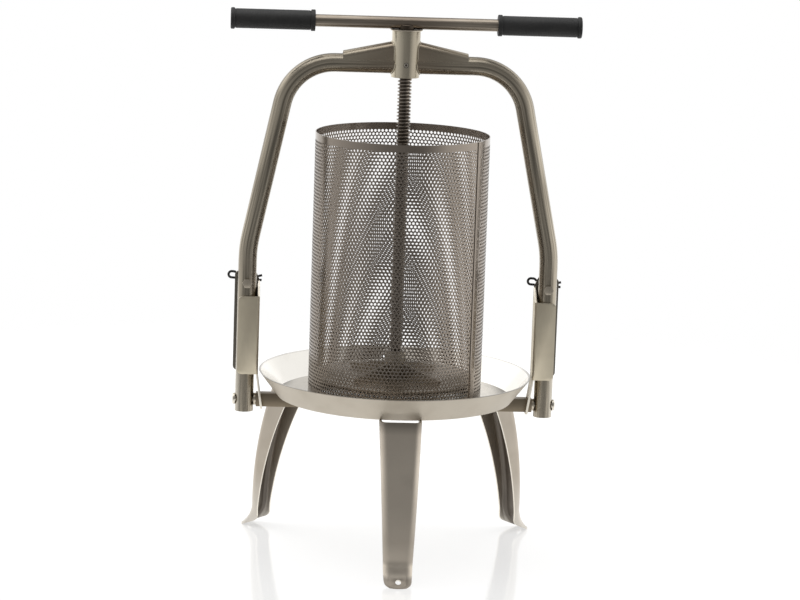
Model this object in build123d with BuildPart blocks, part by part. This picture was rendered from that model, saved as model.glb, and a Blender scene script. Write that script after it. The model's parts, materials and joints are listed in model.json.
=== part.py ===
"""Screw fruit press: a perforated basket in a juice pan on three legs, under a screw in a tube arch.

Millimetres, +Z up. The origin is on the floor, on the screw's axis. The front of the press faces -Y.
"""

from build123d import *
import math
import os

# Juice pan
pan_underside = 179.0
pan_sheet = 1.5
pan_floor_radius = 136.0
pan_rim_radius = 157.3
pan_depth = 27.5

# Outlet at the back of the pan: a root in the pan's wall and a thinner end for a hose
spout_root_od = 22.0
spout_root_past_rim = 2.7
spout_od = 20.0
spout_wall = 1.5
spout_lift = 1.0

# Legs, pressed from sheet
leg_names = ["front_leg", "back_right_leg", "back_left_leg"]
first_leg_angle = -90.0
leg_sheet = 2.5
leg_fold_radius = 8.0
leg_top_width = 47.5
leg_foot_width = 31.5
leg_past_floor = 13.0
leg_splay = 28.5
leg_ankle_height = 24.0
leg_top_depth = 30.5
leg_mid_depth = 19.0
leg_ankle_depth = 9.8
ankle_bend_radius = 30.0
flange_end_height = 10.0
flange_corner_radius = 8.0
foot_splay = 17.5
foot_kick_angle = 15.0
foot_tip_thickness = 1.0
foot_tip_radius = 16.2
foot_hole_diameter = 6.5
foot_hole_height = 6.0

# Square bar under the pan
bar_side = 15.0

# Arch of two bent tubes
tube_od = 21.3
tube_wall = 2.0
tube_end_drop = 21.0
arch_rise = 385.5
arch_knee_rise = 171.0
arch_corner_inset = 44.5
arch_corner_radius = 60.0
arch_knee_radius = 140.0

# Hub, nut and washer at the middle of the arch
hub_od = 32.5
hub_drop = 14.5
hub_height = 53.4
nut_od = 25.0
washer_od = 37.0
washer_thickness = 1.3
set_screw_diameter = 6.0
set_screw_rise = 15.0
set_screw_bite = 2.0
set_screw_socket = 3.0
set_screw_socket_depth = 2.5

# Gussets on the tubes
gusset_width = 18.6
gusset_sheet = 1.5
gusset_fold_radius = 8.5
gusset_hub_rise = 26.0
gusset_end_rise = 14.0
gusset_end_x = 71.5

# Brackets that hold the arch upright
bracket_sheet = 2.5
bracket_fold_radius = 2.0
bracket_pan_gap = 1.2
bracket_rise = 24.0
bracket_front_height = 91.0
bracket_back_height = 116.5
bracket_front_width = 24.5
bracket_back_width = 29.0
bracket_corner_radius = 5.0
bracket_slant_drop = 11.0
bracket_slant_run = 5.0
bracket_tail_drop = 17.0
bracket_tail_lean = 6.0
bracket_side_clearance = 0.5
tube_inset = 15.0

# Pins through the arch and the brackets, with wire clips
pin_diameter = 6.0
pin_rise = 106.0
pin_head_flats = 10.0
pin_head_thickness = 4.0
pin_tail = 8.5
clip_wire = 2.8
clip_loop_radius = 3.6
clip_loop_offset = 18.0
clip_loop_flat = 0.1
clip_leg_past_pin = 17.0
clip_bend_radius = 4.0
clip_bow_radius = 5.0
clip_angle = 4.0

# Bolts and spacers at the feet of the arch
bolt_diameter = 8.0
bolt_head_diameter = 13.0
bolt_head_thickness = 3.0
bolt_socket = 5.0
bolt_socket_depth = 2.0
bolt_bite = 22.0
spacer_od = 14.0
spacer_thickness = 2.85

# Screw with its handle
screw_major = 16.0
screw_minor = 12.0
screw_pitch = 4.0
thread_crest = 1.3
thread_flank_angle = 15.0
thread_start_gap = 1.5
thread_end_depth = 3.0
neck_od = 19.0
neck_top_below_handle = 1.5
handle_rise = 7.1
handle_od = 14.0
handle_wall = 2.0
handle_span = 400.0
grip_length = 96.0
grip_od = 22.5
grip_flange_od = 24.5
grip_flange_width = 5.0
grip_end_wall = 3.0

# Press plate and its swivel
plate_side_gap = 3.5
plate_rise = 18.5
plate_thickness = 4.0
plate_edge_radius = 1.2
boss_od = 24.5
boss_height = 29.5
journal_diameter = 11.0
journal_groove_diameter = 8.0
swivel_pin_diameter = 4.0
swivel_pin_rise = 13.5
button_thickness = 3.0
rib_names = ["front_right", "back_right", "back_left", "front_left"]
first_rib_angle = -45.0
rib_thickness = 4.0
rib_reach = 68.0
rib_boss_height = 16.0
rib_end_height = 4.0

# Basket
basket_od = 200.0
basket_sheet = 1.5
basket_height = 304.5
seam_width = 11.0
seam_thickness = 1.2
seam_angle = -32.0
grid_columns = 20
grid_rows = 10
grid_row_step = 27.0
grid_hole_diameter = 20.0

# Clearances
running_clearance = 0.05
axial_play = 0.1
drill_clearance = 0.1
washer_clearance = 0.5

# Places and sizes that follow from those above
pan_floor = pan_underside + pan_sheet
pan_rim_height = pan_underside + pan_depth
leg_top_radius = pan_floor_radius + leg_past_floor
leg_ankle_radius = leg_top_radius + leg_splay
foot_reach = leg_ankle_radius + foot_splay
spout_height = pan_floor + spout_root_od / 2 + spout_lift
spout_root_reach = pan_rim_radius + spout_root_past_rim
spout_reach = foot_reach
tube_radius = tube_od / 2
bracket_face_x = pan_rim_radius + bracket_pan_gap
tube_x = bracket_face_x + tube_inset
bar_height = pan_underside - bar_side / 2
bar_length = 2 * (tube_x - tube_radius - spacer_thickness)
tube_end_height = pan_underside - tube_end_drop
arch_top_height = pan_underside + arch_rise
arch_knee_height = pan_underside + arch_knee_rise
arch_corner_x = tube_x - arch_corner_inset
hub_bottom = arch_top_height - hub_drop
hub_top = hub_bottom + hub_height
set_screw_height = hub_bottom + set_screw_rise
washer_top = hub_top + washer_thickness
gusset_hub_height = arch_top_height + gusset_hub_rise
gusset_end_height = arch_top_height + gusset_end_rise
bracket_bottom = pan_underside + bracket_rise
bracket_front_top = bracket_bottom + bracket_front_height
bracket_back_top = bracket_bottom + bracket_back_height
bracket_web_top = bracket_back_top - bracket_slant_drop
bracket_tail_bottom = pan_underside - bracket_tail_drop
flange_inside_y = tube_radius + bracket_side_clearance
flange_outside_y = flange_inside_y + bracket_sheet
pin_height = bracket_bottom + pin_rise
clip_y = flange_outside_y + pin_tail / 2
plate_diameter = basket_od - 2 * basket_sheet - 2 * plate_side_gap
plate_underside = pan_floor + plate_rise
plate_top = plate_underside + plate_thickness
boss_top = plate_top + boss_height
swivel_pin_height = plate_top + swivel_pin_rise
journal_end = plate_top + button_thickness + axial_play
thread_top = hub_top - thread_end_depth
handle_height = washer_top + handle_rise
up = Vector(0, 0, 1)

os.makedirs("parts", exist_ok=True)


def save(part, name):
    """Label a finished piece and write it as its own file."""
    part.label = name
    export_step(part, f"parts/{name}.step")


# The juice pan: flat floor, flared wall, and a hole for the outlet
wall_run = Vector(pan_rim_radius - pan_floor_radius, pan_depth)
wall_shift = pan_sheet * wall_run.length / wall_run.Y
with BuildPart() as juice_pan:
    with BuildSketch(Plane.XZ) as pan_section:
        with BuildLine():
            Polyline(
                (0, pan_underside),
                (pan_floor_radius, pan_underside),
                (pan_rim_radius, pan_rim_height),
                (pan_rim_radius - wall_shift, pan_rim_height),
                (pan_floor_radius + pan_sheet * wall_run.X / wall_run.Y - wall_shift, pan_floor),
                (0, pan_floor),
                close=True,
            )
        make_face()
    revolve(axis=Axis.Z)
    with BuildSketch(Plane.XZ.offset(-pan_floor_radius / 2)) as outlet_hole:
        with Locations((0, spout_height)):
            Circle(spout_root_od / 2)
    extrude(amount=-spout_reach, mode=Mode.SUBTRACT)
save(juice_pan.part, "juice_pan")

# The outlet: a short pipe whose inner end follows the pan's wall
with BuildPart() as outlet_spout:
    with BuildSketch(Plane.XZ.offset(-pan_floor_radius / 2)) as root_section:
        with Locations((0, spout_height)):
            Circle(spout_root_od / 2)
    extrude(amount=-(spout_root_reach - pan_floor_radius / 2))
    with BuildSketch(Plane.XZ.offset(-spout_root_reach)) as hose_section:
        with Locations((0, spout_height)):
            Circle(spout_od / 2)
    extrude(amount=-(spout_reach - spout_root_reach))
    with BuildSketch(Plane.XZ) as bore_section:
        with Locations((0, spout_height)):
            Circle(spout_od / 2 - spout_wall)
    extrude(amount=-spout_reach, mode=Mode.SUBTRACT)
    with BuildSketch(Plane.XZ) as pan_hollow:
        with BuildLine():
            Polyline(
                (0, pan_floor),
                (pan_floor_radius + pan_sheet * wall_run.X / wall_run.Y - wall_shift, pan_floor),
                (pan_rim_radius - wall_shift, pan_rim_height),
                (0, pan_rim_height),
                close=True,
            )
        make_face()
    revolve(axis=Axis.Z, mode=Mode.SUBTRACT)
save(outlet_spout.part, "outlet_spout")

# The three legs: channels open towards the middle, whose outer wall curves down and flares into a foot
leg_drop = pan_underside - leg_ankle_height
leg_curve_radius = (leg_splay**2 + leg_drop**2) / (2 * leg_splay)
leg_mid_height = (pan_underside + leg_ankle_height) / 2
foot_chord = Vector(foot_splay, leg_ankle_height - foot_tip_thickness)
foot_turn = 2 * (math.degrees(math.atan2(foot_chord.X, foot_chord.Y)) - foot_kick_angle)
foot_curve_radius = foot_chord.length / (2 * math.sin(math.radians(foot_turn / 2)))
foot_centre_radius = leg_ankle_radius + foot_curve_radius * math.cos(math.radians(foot_kick_angle))
foot_centre_height = leg_ankle_height + foot_curve_radius * math.sin(math.radians(foot_kick_angle))


def leg_wall(height, inset=0.0):
    """Radius of the leg's outer wall at a height, moved inward by an inset."""
    curve = leg_curve_radius - inset
    return leg_ankle_radius - leg_curve_radius + math.sqrt(curve**2 - (height - leg_ankle_height) ** 2)


def foot_wall(height, inset=0.0):
    """Radius of the foot's flared surface at a height, moved inward by an inset."""
    curve = foot_curve_radius + inset
    return foot_centre_radius - math.sqrt(curve**2 - (foot_centre_height - height) ** 2)


def ankle_point(inset=0.0):
    """Where the wall and the foot meet, both moved inward by an inset."""
    wall_centre = Vector(leg_ankle_radius - leg_curve_radius, leg_ankle_height)
    between = Vector(foot_centre_radius, foot_centre_height) - wall_centre
    wall_curve, foot_curve = leg_curve_radius - inset, foot_curve_radius + inset
    along = (between.length**2 + wall_curve**2 - foot_curve**2) / (2 * between.length)
    below = math.sqrt(wall_curve**2 - along**2)
    run = between.normalized()
    return wall_centre + run * along + Vector(run.Y, -run.X) * below


def round_fold(channel, heading, side, radius):
    """Round the edge between a leg's outer wall and its flange on one side."""
    across = up.cross(heading) * side
    curved_faces = channel.faces().filter_by(GeomType.CYLINDER)
    wall_faces = curved_faces.filter_by(lambda face: face.normal_at().dot(heading) > 0.1)
    wall_edges = wall_faces.edges().filter_by(GeomType.ELLIPSE)
    fillet(wall_edges.filter_by(lambda edge: edge.center().dot(across) > 0), radius=radius)


def foot_height(radius, inset=0.0):
    """Height of the foot's flared surface at a radius, moved inward by an inset."""
    curve = foot_curve_radius + inset
    return foot_centre_height - math.sqrt(curve**2 - (foot_centre_radius - radius) ** 2)


wall_top = leg_wall(pan_underside)
foot_mid_height = leg_ankle_height / 2
foot_end = foot_reach + leg_sheet
below_floor = leg_ankle_height
leg_hollow_back = leg_top_radius - 2 * leg_top_depth
flange_back = leg_ankle_radius - leg_ankle_depth
sole_radius = foot_wall(0, leg_sheet)
foot_tip_centre = foot_reach - foot_tip_radius
foot_hole_radius_at = foot_wall(foot_hole_height)
for leg_number, leg_name in enumerate(leg_names):
    leg_angle = first_leg_angle + leg_number * 360 / len(leg_names)
    heading = Vector(1, 0, 0).rotate(Axis.Z, leg_angle)
    side_view = Plane(origin=(0, 0, 0), x_dir=heading, z_dir=heading.cross(up))
    front_view = Plane(origin=(0, 0, 0), x_dir=up.cross(heading), z_dir=heading)
    top_view = Plane(origin=(0, 0, 0), x_dir=heading, z_dir=up)

    # The leg and what lies between its folded flanges, as seen from the front
    with BuildSketch(front_view) as leg_front:
        Polygon(
            (leg_top_width / 2, pan_underside),
            (-leg_top_width / 2, pan_underside),
            (-leg_foot_width / 2, 0),
            (leg_foot_width / 2, 0),
            align=None,
        )
    with BuildSketch(front_view) as hollow_front:
        Polygon(
            (leg_top_width / 2 - leg_sheet, pan_underside),
            (-leg_top_width / 2 + leg_sheet, pan_underside),
            (-leg_foot_width / 2 + leg_sheet, 0),
            (leg_foot_width / 2 - leg_sheet, 0),
            align=None,
        )

    # What lies between the flanges, carried on below the floor
    with BuildPart() as leg_hollow:
        with BuildSketch(side_view) as hollow_side:
            with BuildLine():
                ThreePointArc(
                    (leg_wall(pan_underside, leg_sheet), pan_underside),
                    (leg_wall(leg_mid_height, leg_sheet), leg_mid_height),
                    ankle_point(leg_sheet),
                )
                ThreePointArc(
                    ankle_point(leg_sheet),
                    (foot_wall(foot_mid_height, leg_sheet), foot_mid_height),
                    (foot_end, foot_height(foot_end, leg_sheet)),
                )
                Polyline(
                    (foot_end, foot_height(foot_end, leg_sheet)),
                    (foot_end, -below_floor),
                    (leg_hollow_back, -below_floor),
                    (leg_hollow_back, pan_underside),
                    (leg_wall(pan_underside, leg_sheet), pan_underside),
                )
            make_face()
            kink = hollow_side.vertices().sort_by_distance(ankle_point(leg_sheet))[0]
            fillet(kink, radius=ankle_bend_radius + leg_sheet)
        extrude(amount=leg_top_width, both=True)
        extrude(hollow_front.sketch, amount=2 * foot_reach, mode=Mode.INTERSECT)
        for side in (-1, 1):
            round_fold(leg_hollow, heading, side, leg_fold_radius - leg_sheet)

    # The folded channel, cut level with the floor and along the lower edge of its flanges
    with BuildPart() as leg:
        with BuildSketch(side_view) as leg_side:
            with BuildLine():
                ThreePointArc(
                    (wall_top, pan_underside),
                    (leg_wall(leg_mid_height), leg_mid_height),
                    ankle_point(),
                )
                ThreePointArc(
                    ankle_point(),
                    (foot_wall(foot_mid_height), foot_mid_height),
                    (foot_end, foot_height(foot_end)),
                )
                Polyline(
                    (foot_end, foot_height(foot_end)),
                    (foot_end, -below_floor),
                    (flange_back, -below_floor),
                    (flange_back, leg_ankle_height),
                )
                ThreePointArc(
                    (flange_back, leg_ankle_height),
                    (leg_wall(leg_mid_height) - leg_mid_depth, leg_mid_height),
                    (leg_top_radius - leg_top_depth, pan_underside),
                )
                Line((leg_top_radius - leg_top_depth, pan_underside), (wall_top, pan_underside))
            make_face()
            kink = leg_side.vertices().sort_by_distance(ankle_point())[0]
            fillet(kink, radius=ankle_bend_radius)
        extrude(amount=leg_top_width, both=True)
        extrude(leg_front.sketch, amount=2 * foot_reach, mode=Mode.INTERSECT)
        for side in (-1, 1):
            round_fold(leg, heading, side, leg_fold_radius)
        add(leg_hollow.part, mode=Mode.SUBTRACT)
        with BuildSketch(side_view) as under_flange:
            with BuildLine():
                FilletPolyline(
                    (flange_back, leg_ankle_height),
                    (flange_back, flange_end_height),
                    (sole_radius, 0),
                    radius=flange_corner_radius,
                )
                Polyline(
                    (sole_radius, 0),
                    (foot_end, 0),
                    (foot_end, -2 * below_floor),
                    (leg_hollow_back, -2 * below_floor),
                    (leg_hollow_back, leg_ankle_height),
                    (flange_back, leg_ankle_height),
                )
            make_face()
        extrude(amount=leg_top_width, both=True, mode=Mode.SUBTRACT)
        with BuildSketch(top_view) as round_tip:
            with Locations((foot_reach, 0)):
                Rectangle(2 * foot_tip_radius, 3 * foot_tip_radius)
            with Locations((foot_tip_centre, 0)):
                Circle(foot_tip_radius, mode=Mode.SUBTRACT)
        extrude(amount=leg_ankle_height, mode=Mode.SUBTRACT)
        hole_centre = heading * foot_hole_radius_at + up * foot_hole_height
        foot_centre = heading * foot_centre_radius + up * foot_centre_height
        with BuildSketch(Plane(origin=hole_centre, z_dir=foot_centre - hole_centre)) as foot_hole:
            Circle(foot_hole_diameter / 2)
        extrude(amount=2 * leg_sheet, both=True, mode=Mode.SUBTRACT)
    save(leg.part, leg_name)

# The square bar under the pan, drilled at both ends for the bolts
with BuildPart() as cross_bar:
    with BuildSketch(Plane.YZ.offset(-bar_length / 2)) as bar_section:
        with Locations((0, bar_height)):
            Rectangle(bar_side, bar_side)
    extrude(amount=bar_length)
    for end in (-1, 1):
        with BuildSketch(Plane.YZ.offset(end * bar_length / 2)) as bolt_hole:
            with Locations((0, bar_height)):
                Circle(bolt_diameter / 2)
        extrude(amount=-end * bolt_bite, mode=Mode.SUBTRACT)
save(cross_bar.part, "cross_bar")

# Hub, nut, set screw and washer
with BuildPart() as nut_hub:
    with BuildSketch(Plane.XY.offset(hub_bottom)) as hub_section:
        Circle(hub_od / 2)
        Circle(nut_od / 2, mode=Mode.SUBTRACT)
    extrude(amount=hub_height)
    with BuildSketch(Plane.XZ) as set_screw_hole:
        with Locations((0, set_screw_height)):
            Circle(set_screw_diameter / 2)
    extrude(amount=hub_od, mode=Mode.SUBTRACT)
save(nut_hub.part, "nut_hub")

set_screw_tip = nut_od / 2 - set_screw_bite
with BuildPart() as screw_nut:
    with BuildSketch(Plane.XY.offset(hub_bottom)) as nut_section:
        Circle(nut_od / 2)
        Circle(screw_major / 2 + running_clearance, mode=Mode.SUBTRACT)
    extrude(amount=hub_height)
    with BuildSketch(Plane.XZ.offset(set_screw_tip)) as set_screw_dimple:
        with Locations((0, set_screw_height)):
            Circle(set_screw_diameter / 2)
    extrude(amount=hub_od, mode=Mode.SUBTRACT)
save(screw_nut.part, "screw_nut")

with BuildPart() as nut_set_screw:
    with BuildSketch(Plane.XZ.offset(set_screw_tip)) as set_screw_section:
        with Locations((0, set_screw_height)):
            Circle(set_screw_diameter / 2)
    extrude(amount=hub_od / 2 - set_screw_tip)
    with BuildSketch(Plane.XZ.offset(hub_od / 2)) as socket_section:
        with Locations((0, set_screw_height)):
            RegularPolygon(set_screw_socket / 2, 6, major_radius=False)
    extrude(amount=-set_screw_socket_depth, mode=Mode.SUBTRACT)
save(nut_set_screw.part, "nut_set_screw")

with BuildPart() as thrust_washer:
    with BuildSketch(Plane.XY.offset(hub_top)) as washer_section:
        Circle(washer_od / 2)
        Circle(screw_major / 2 + washer_clearance, mode=Mode.SUBTRACT)
    extrude(amount=washer_thickness)
save(thrust_washer.part, "thrust_washer")

# The two sides of the arch, each with its gusset, bracket, pin, clip, bolt and spacer
for side_name, side in (("left", -1), ("right", 1)):
    with BuildPart() as frame_tube:
        with BuildLine(Plane.XZ) as tube_path:
            FilletPolyline(
                (0, arch_top_height),
                (side * arch_corner_x, arch_top_height),
                (side * tube_x, arch_knee_height),
                (side * tube_x, tube_end_height),
                radius=[arch_corner_radius, arch_knee_radius],
            )
        with BuildSketch(Plane(origin=tube_path.line @ 0, z_dir=tube_path.line % 0)) as tube_section:
            Circle(tube_radius)
            Circle(tube_radius - tube_wall, mode=Mode.SUBTRACT)
        sweep()
        with BuildSketch(Plane.XY.offset(hub_bottom)) as hub_cope:
            Circle(hub_od / 2)
        extrude(amount=hub_height, mode=Mode.SUBTRACT)
        with BuildSketch(Plane.XZ) as pin_hole:
            with Locations((side * tube_x, pin_height)):
                Circle(pin_diameter / 2 + drill_clearance)
        extrude(amount=tube_od, both=True, mode=Mode.SUBTRACT)
        with BuildSketch(Plane.YZ.offset(side * tube_x)) as bolt_hole:
            with Locations((0, bar_height)):
                Circle(bolt_diameter / 2 + drill_clearance)
        extrude(amount=tube_od, both=True, mode=Mode.SUBTRACT)
    save(frame_tube.part, f"{side_name}_frame_tube")

    # The gusset: a cap folded from sheet, open below where it sits on the tube
    with BuildPart() as gusset_inside:
        with BuildSketch(Plane.XZ) as inside_section:
            with BuildLine():
                Polyline(
                    (0, arch_top_height),
                    (side * gusset_end_x, arch_top_height),
                    (side * gusset_end_x, gusset_end_height - gusset_sheet),
                    (side * hub_od / 2, gusset_hub_height - gusset_sheet),
                    (0, gusset_hub_height - gusset_sheet),
                    close=True,
                )
            make_face()
        extrude(amount=gusset_width / 2 - gusset_sheet, both=True)
        upper_edges = gusset_inside.edges().filter_by(
            lambda edge: edge.center().Z > gusset_end_height - gusset_sheet
        )
        folds = upper_edges.filter_by(lambda edge: abs(edge.center().Y) > gusset_sheet)
        fillet(folds, radius=gusset_fold_radius - gusset_sheet)

    with BuildPart() as gusset:
        with BuildSketch(Plane.XZ) as gusset_section:
            with BuildLine():
                Polyline(
                    (0, arch_top_height),
                    (side * gusset_end_x, arch_top_height),
                    (side * gusset_end_x, gusset_end_height),
                    (side * hub_od / 2, gusset_hub_height),
                    (0, gusset_hub_height),
                    close=True,
                )
            make_face()
        extrude(amount=gusset_width / 2, both=True)
        folds = gusset.edges().filter_by(
            lambda edge: edge.center().Z > gusset_end_height and abs(edge.center().Y) > gusset_sheet
        )
        fillet(folds, radius=gusset_fold_radius)
        add(gusset_inside.part, mode=Mode.SUBTRACT)
        with BuildSketch(Plane.YZ) as tube_bed:
            with Locations((0, arch_top_height)):
                Circle(tube_radius)
        extrude(amount=side * arch_corner_x, mode=Mode.SUBTRACT)
        with BuildSketch(Plane.XY.offset(hub_bottom)) as hub_cope:
            Circle(hub_od / 2)
        extrude(amount=hub_height, mode=Mode.SUBTRACT)
    save(gusset.part, f"{side_name}_gusset")

    with BuildPart() as bracket:
        mid_sheet = bracket_sheet / 2
        web_x = bracket_face_x + mid_sheet
        flange_y = flange_inside_y + mid_sheet
        with BuildSketch(Plane.XY.offset(bracket_bottom)) as channel_section:
            with BuildLine() as channel_path:
                FilletPolyline(
                    (side * (bracket_face_x + bracket_front_width), -flange_y),
                    (side * web_x, -flange_y),
                    (side * web_x, flange_y),
                    (side * (bracket_face_x + bracket_back_width), flange_y),
                    radius=bracket_fold_radius,
                )
            trace(line_width=bracket_sheet)
        extrude(amount=bracket_back_top - bracket_bottom)
        with BuildSketch(Plane.YZ) as slanted_top:
            Polygon(
                (-2 * flange_outside_y, bracket_front_top),
                (-flange_inside_y, bracket_front_top),
                (flange_inside_y, bracket_web_top),
                (flange_inside_y, bracket_back_top),
                (-2 * flange_outside_y, bracket_back_top),
                align=None,
            )
        extrude(amount=side * 2 * tube_x, mode=Mode.SUBTRACT)
        with BuildSketch(Plane.XZ) as slanted_corner:
            Polygon(
                (side * bracket_face_x, bracket_web_top),
                (side * (bracket_face_x + bracket_slant_run), bracket_back_top),
                (side * bracket_face_x, bracket_back_top),
                align=None,
            )
        extrude(amount=2 * flange_outside_y, both=True, mode=Mode.SUBTRACT)
        rounded = bracket.edges().filter_by(Axis.Y).filter_by(
            lambda edge: abs(edge.center().X) > bracket_face_x + 2 * bracket_sheet
        )
        fillet(rounded, radius=bracket_corner_radius)
        with BuildSketch(Plane.XZ) as tail_section:
            with BuildLine():
                Polyline(
                    (side * bracket_face_x, bracket_bottom),
                    (side * (bracket_face_x + bracket_sheet), bracket_bottom),
                    (side * (bracket_face_x + bracket_sheet - bracket_tail_lean), bracket_tail_bottom),
                    (side * (bracket_face_x - bracket_tail_lean), bracket_tail_bottom),
                    close=True,
                )
            make_face()
        extrude(amount=flange_inside_y, both=True)
        with BuildSketch(Plane.YZ) as bar_hole:
            with Locations((0, bar_height)):
                Rectangle(bar_side, bar_side)
        extrude(amount=side * 2 * tube_x, mode=Mode.SUBTRACT)
        with BuildSketch(Plane.XZ) as pin_hole:
            with Locations((side * tube_x, pin_height)):
                Circle(pin_diameter / 2 + drill_clearance)
        extrude(amount=tube_od, both=True, mode=Mode.SUBTRACT)
    save(bracket.part, f"{side_name}_bracket")

    pin_axis = Vector(side * tube_x, 0, pin_height)
    clip_direction = Vector(1, 0, 0).rotate(Axis.Y, clip_angle)
    with BuildPart() as lock_pin:
        with BuildSketch(Plane.XZ.offset(tube_radius)) as pin_head:
            with Locations((pin_axis.X, pin_axis.Z)):
                RegularPolygon(pin_head_flats / 2, 6, major_radius=False)
        extrude(amount=pin_head_thickness)
        with BuildSketch(Plane.XZ.offset(tube_radius)) as pin_shank:
            with Locations((pin_axis.X, pin_axis.Z)):
                Circle(pin_diameter / 2)
        extrude(amount=-(tube_radius + flange_outside_y + pin_tail))
        with BuildSketch(Plane(origin=pin_axis + Vector(0, clip_y, 0), z_dir=clip_direction)) as clip_hole:
            Circle(clip_wire / 2 + drill_clearance)
        extrude(amount=pin_diameter, both=True, mode=Mode.SUBTRACT)
    save(lock_pin.part, f"{side_name}_lock_pin")

    # The clip: one leg through the pin, a round loop, and a springy leg that bows over the pin
    clip_plane = Plane(
        origin=pin_axis + Vector(0, clip_y, 0),
        x_dir=clip_direction,
        z_dir=Vector(0, -1, 0),
    )
    nip = clip_wire + drill_clearance
    bow = pin_diameter / 2 + clip_wire
    loop_top = 2 * clip_loop_radius
    loop_bend = clip_loop_radius - clip_loop_flat / 2
    with BuildPart() as pin_clip:
        with BuildLine(clip_plane) as clip_path:
            FilletPolyline(
                (clip_leg_past_pin, 0),
                (-clip_loop_offset - clip_loop_radius, 0),
                (-clip_loop_offset - clip_loop_radius, loop_top),
                (-clip_loop_offset + clip_loop_radius, loop_top),
                (-pin_diameter - clip_wire, nip),
                (0, bow),
                (pin_diameter + clip_wire, nip),
                (clip_leg_past_pin, bow),
                radius=[
                    loop_bend,
                    loop_bend,
                    clip_bend_radius,
                    clip_bend_radius,
                    clip_bow_radius,
                    clip_bend_radius,
                ],
            )
        with BuildSketch(Plane(origin=clip_path.line @ 0, z_dir=clip_path.line % 0)) as wire_section:
            Circle(clip_wire / 2)
        sweep()
    save(pin_clip.part, f"{side_name}_pin_clip")

    tube_inside = tube_x - tube_radius
    tube_outside = tube_x + tube_radius
    with BuildPart() as spacer:
        with BuildSketch(Plane.YZ.offset(side * bar_length / 2)) as spacer_section:
            with Locations((0, bar_height)):
                Circle(spacer_od / 2)
                Circle(bolt_diameter / 2 + drill_clearance, mode=Mode.SUBTRACT)
        extrude(amount=side * (tube_inside - bar_length / 2))
    save(spacer.part, f"{side_name}_spacer")

    with BuildPart() as foot_bolt:
        with BuildSketch(Plane.YZ.offset(side * tube_outside)) as bolt_head:
            with Locations((0, bar_height)):
                Circle(bolt_head_diameter / 2)
        extrude(amount=side * bolt_head_thickness)
        rim = foot_bolt.edges().filter_by(GeomType.CIRCLE).sort_by(lambda edge: abs(edge.center().X))[-1]
        fillet(rim, radius=bolt_head_thickness / 2)
        with BuildSketch(Plane.YZ.offset(side * tube_outside)) as bolt_shank:
            with Locations((0, bar_height)):
                Circle(bolt_diameter / 2)
        extrude(amount=-side * (tube_outside - bar_length / 2 + bolt_bite))
        with BuildSketch(Plane.YZ.offset(side * (tube_outside + bolt_head_thickness))) as bolt_key:
            with Locations((0, bar_height)):
                RegularPolygon(bolt_socket / 2, 6, major_radius=False)
        extrude(amount=-side * bolt_socket_depth, mode=Mode.SUBTRACT)
    save(foot_bolt.part, f"{side_name}_foot_bolt")

# The screw: a journal with a groove at its foot, a trapezoidal thread drawn as rings, and a neck
thread_bottom = boss_top + thread_start_gap
groove_half = swivel_pin_diameter / 2 + axial_play
thread_root = screw_minor / 2
thread_peak = screw_major / 2
flank_rise = (thread_peak - thread_root) * math.tan(math.radians(thread_flank_angle))
ring_count = int((thread_top - thread_bottom) / screw_pitch)
neck_bottom = washer_top + axial_play
screw_outline = [
    (0, journal_end),
    (journal_diameter / 2, journal_end),
    (journal_diameter / 2, swivel_pin_height - groove_half),
    (journal_groove_diameter / 2, swivel_pin_height - groove_half),
    (journal_groove_diameter / 2, swivel_pin_height + groove_half),
    (journal_diameter / 2, swivel_pin_height + groove_half),
    (journal_diameter / 2, thread_bottom),
]
for ring in range(ring_count):
    ring_base = thread_bottom + ring * screw_pitch
    screw_outline += [
        (thread_root, ring_base),
        (thread_peak, ring_base + flank_rise),
        (thread_peak, ring_base + flank_rise + thread_crest),
        (thread_root, ring_base + 2 * flank_rise + thread_crest),
    ]
shank_bottom = thread_bottom + ring_count * screw_pitch
screw_outline += [
    (thread_root, shank_bottom),
    (thread_peak, shank_bottom + flank_rise),
    (thread_peak, neck_bottom),
    (neck_od / 2, neck_bottom),
    (neck_od / 2, handle_height - neck_top_below_handle),
    (0, handle_height - neck_top_below_handle),
]
with BuildPart() as press_screw:
    with BuildSketch(Plane.XZ) as screw_section:
        with BuildLine():
            Polyline(*screw_outline, close=True)
        make_face()
    revolve(axis=Axis.Z)
    with BuildSketch(Plane.YZ.offset(-neck_od)) as handle_saddle:
        with Locations((0, handle_height)):
            Circle(handle_od / 2)
    extrude(amount=2 * neck_od, mode=Mode.SUBTRACT)
save(press_screw.part, "press_screw")

# The handle bar and its two grips
bar_half = handle_span / 2 - grip_end_wall
with BuildPart() as handle_bar:
    with BuildSketch(Plane.YZ.offset(-bar_half)) as handle_section:
        with Locations((0, handle_height)):
            Circle(handle_od / 2)
            Circle(handle_od / 2 - handle_wall, mode=Mode.SUBTRACT)
    extrude(amount=2 * bar_half)
save(handle_bar.part, "handle_bar")

for side_name, side in (("left", -1), ("right", 1)):
    grip_end = handle_span / 2
    grip_start = grip_end - grip_length
    with BuildPart() as grip:
        with BuildSketch(Plane.XZ) as grip_section:
            with BuildLine():
                Polyline(
                    (side * grip_start, handle_height + handle_od / 2),
                    (side * grip_start, handle_height + grip_flange_od / 2),
                    (side * (grip_start + grip_flange_width), handle_height + grip_flange_od / 2),
                    (side * (grip_start + grip_flange_width), handle_height + grip_od / 2),
                    (side * (grip_end - grip_flange_width), handle_height + grip_od / 2),
                    (side * (grip_end - grip_flange_width), handle_height + grip_flange_od / 2),
                    (side * grip_end, handle_height + grip_flange_od / 2),
                    (side * grip_end, handle_height),
                    (side * (grip_end - grip_end_wall), handle_height),
                    (side * (grip_end - grip_end_wall), handle_height + handle_od / 2),
                    close=True,
                )
            make_face()
        revolve(axis=Axis((0, 0, handle_height), (1, 0, 0)))
    save(grip.part, f"{side_name}_grip")

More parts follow.
